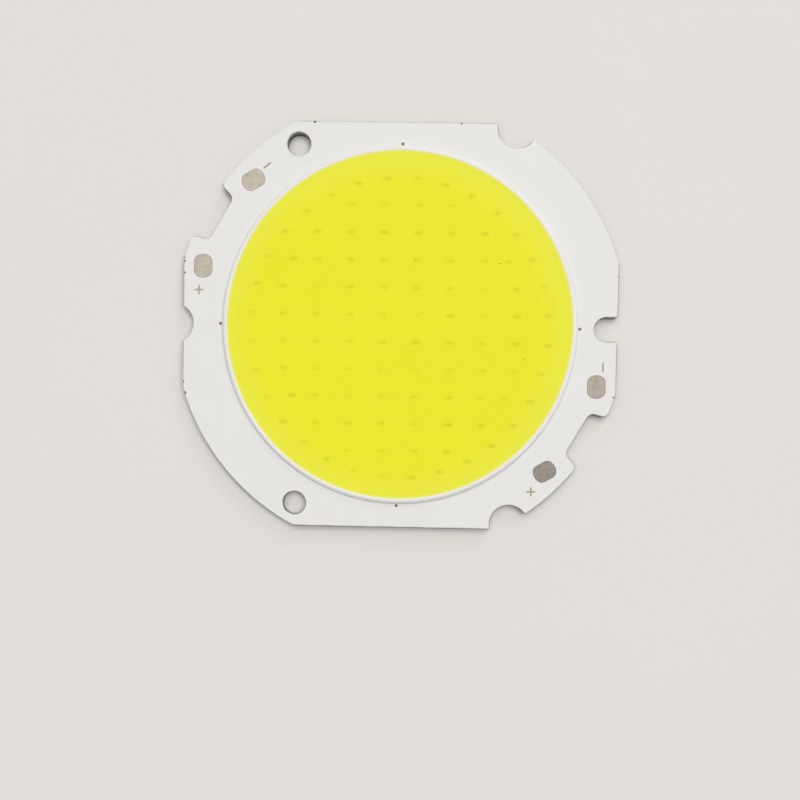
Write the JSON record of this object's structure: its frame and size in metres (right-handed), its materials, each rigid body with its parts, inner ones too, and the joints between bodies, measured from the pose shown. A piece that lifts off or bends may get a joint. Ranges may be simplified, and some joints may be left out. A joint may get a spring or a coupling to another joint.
{
  "type": "chip-on-board led module",
  "caption": "Flat LED light module: white-masked aluminium board with flats and scallops round a yellow lit disc in a white dam, with screw openings and solder pads.",
  "frame": {"origin": "centre of the board, on its underside", "axes": "+Z out of the lit face, +X towards the open screw slot, +Y towards the top flat"},
  "size_m": [0.076, 0.0706, 0.0023],
  "materials": {
    "aluminium": "bare rolled, punched edges",
    "insulation": "matte",
    "copper": "bare foil",
    "mask": "satin white print",
    "tin": "dull tinned, grainy",
    "dam_silicone": "glossy white",
    "phosphor": "satin yellow",
    "chip": "polished",
    "gold_wire": "drawn wire"
  },
  "bodies": {
    "root": {"base_plate": "aluminium", "insulating_layer": "insulation", "plus_track": "copper", "minus_track": "copper", "white_mask": "mask", "dam": "dam_silicone", "phosphor_fill": "phosphor", "pad_plus_left": "tin", "pad_minus_left": "tin", "pad_plus_right": "tin", "pad_minus_right": "tin", "chip_row_a1": "chip", "chip_row_a2": "chip", "chip_row_a3": "chip", "chip_row_a4": "chip", "chip_row_a5": "chip", "chip_row_a6": "chip", "chip_row_b1": "chip", "chip_row_b2": "chip", "chip_row_b3": "chip", "chip_row_b4": "chip", "chip_row_b5": "chip", "chip_row_b6": "chip", "wire_row_a1": "gold_wire", "wire_row_a2": "gold_wire", "wire_row_a3": "gold_wire", "wire_row_a4": "gold_wire", "wire_row_a5": "gold_wire", "wire_row_a6": "gold_wire", "wire_row_b1": "gold_wire", "wire_row_b2": "gold_wire", "wire_row_b3": "gold_wire", "wire_row_b4": "gold_wire", "wire_row_b5": "gold_wire", "wire_row_b6": "gold_wire"}
  },
  "joints": []
}
